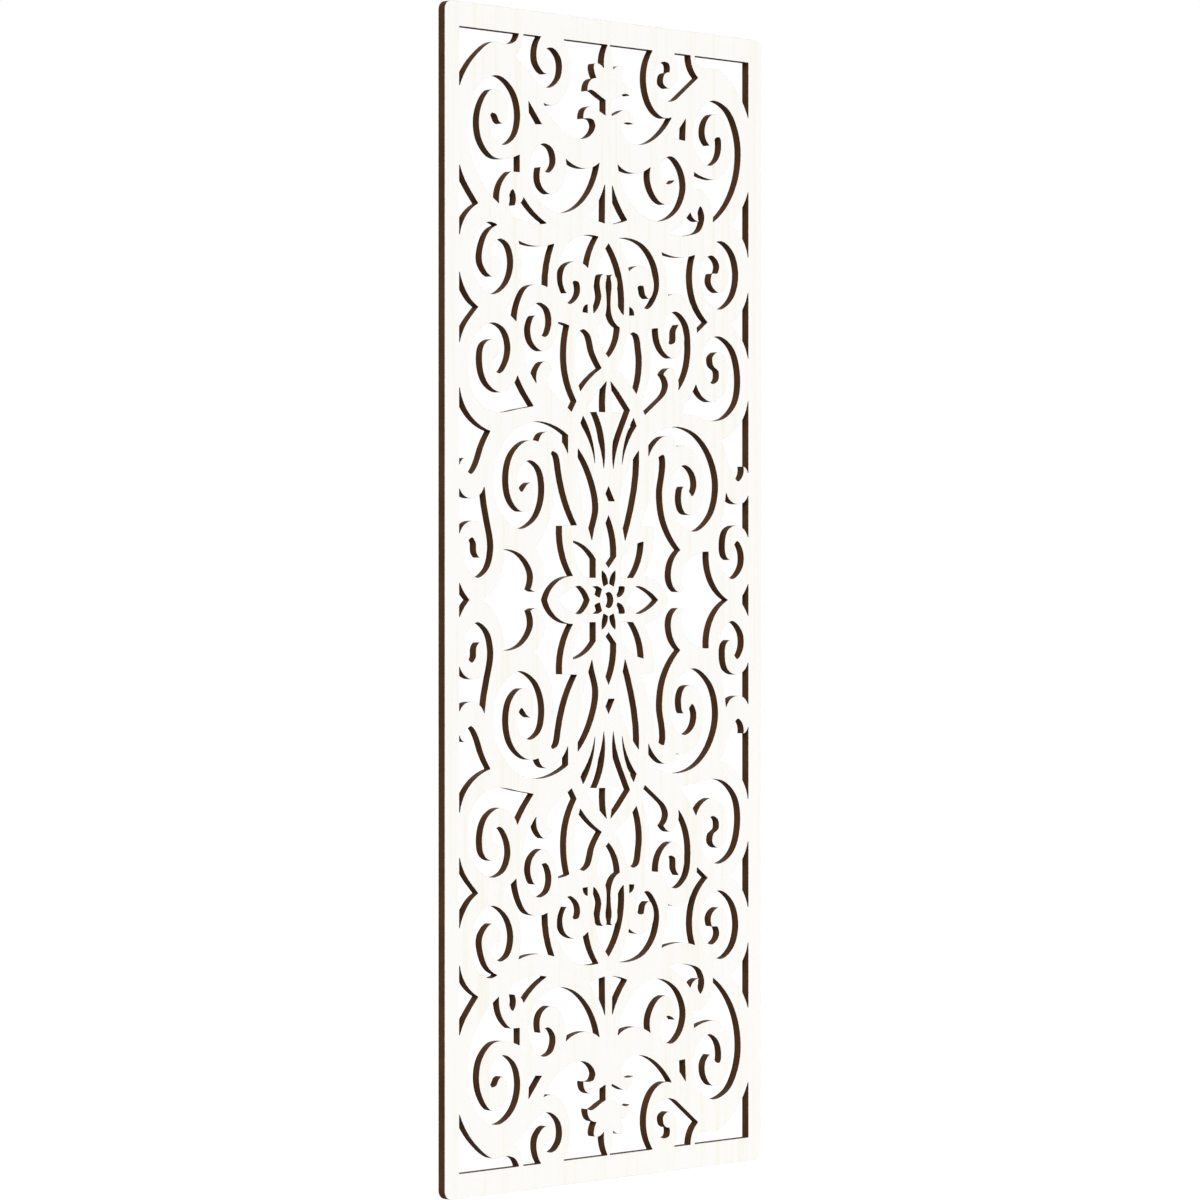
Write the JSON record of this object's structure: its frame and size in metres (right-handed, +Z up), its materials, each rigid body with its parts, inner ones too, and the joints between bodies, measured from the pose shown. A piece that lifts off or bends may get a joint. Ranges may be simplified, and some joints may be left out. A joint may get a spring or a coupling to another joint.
{
  "type": "fretwork wall panel",
  "caption": "Tall flat wall panel with rounded corners, a plain border and mirrored scroll fretwork cut right through, white faces over a dark brown core, and keyhole hangers in the back.",
  "frame": {"origin": "centre of the back face, in the plane of the wall, midway between the four keyhole entry holes", "axes": "+X to the right as seen from the front, +Z up; the front faces -Y and the back lies on the wall in the plane y = 0"},
  "size_m": [0.8, 0.016, 2.07],
  "materials": {
    "core_board": "dark brown through-dyed fibreboard, cut edges left bare",
    "white_laminate": "matt white decorative laminate",
    "hanger_steel": "zinc plated",
    "screw_steel": "zinc plated"
  },
  "bodies": {
    "root": {"fret_core": "core_board", "front_face": "white_laminate", "back_face": "white_laminate", "hanger_top_left": "hanger_steel", "hanger_top_right": "hanger_steel", "hanger_bottom_left": "hanger_steel", "hanger_bottom_right": "hanger_steel", "hanger_screws": "screw_steel"}
  },
  "joints": []
}
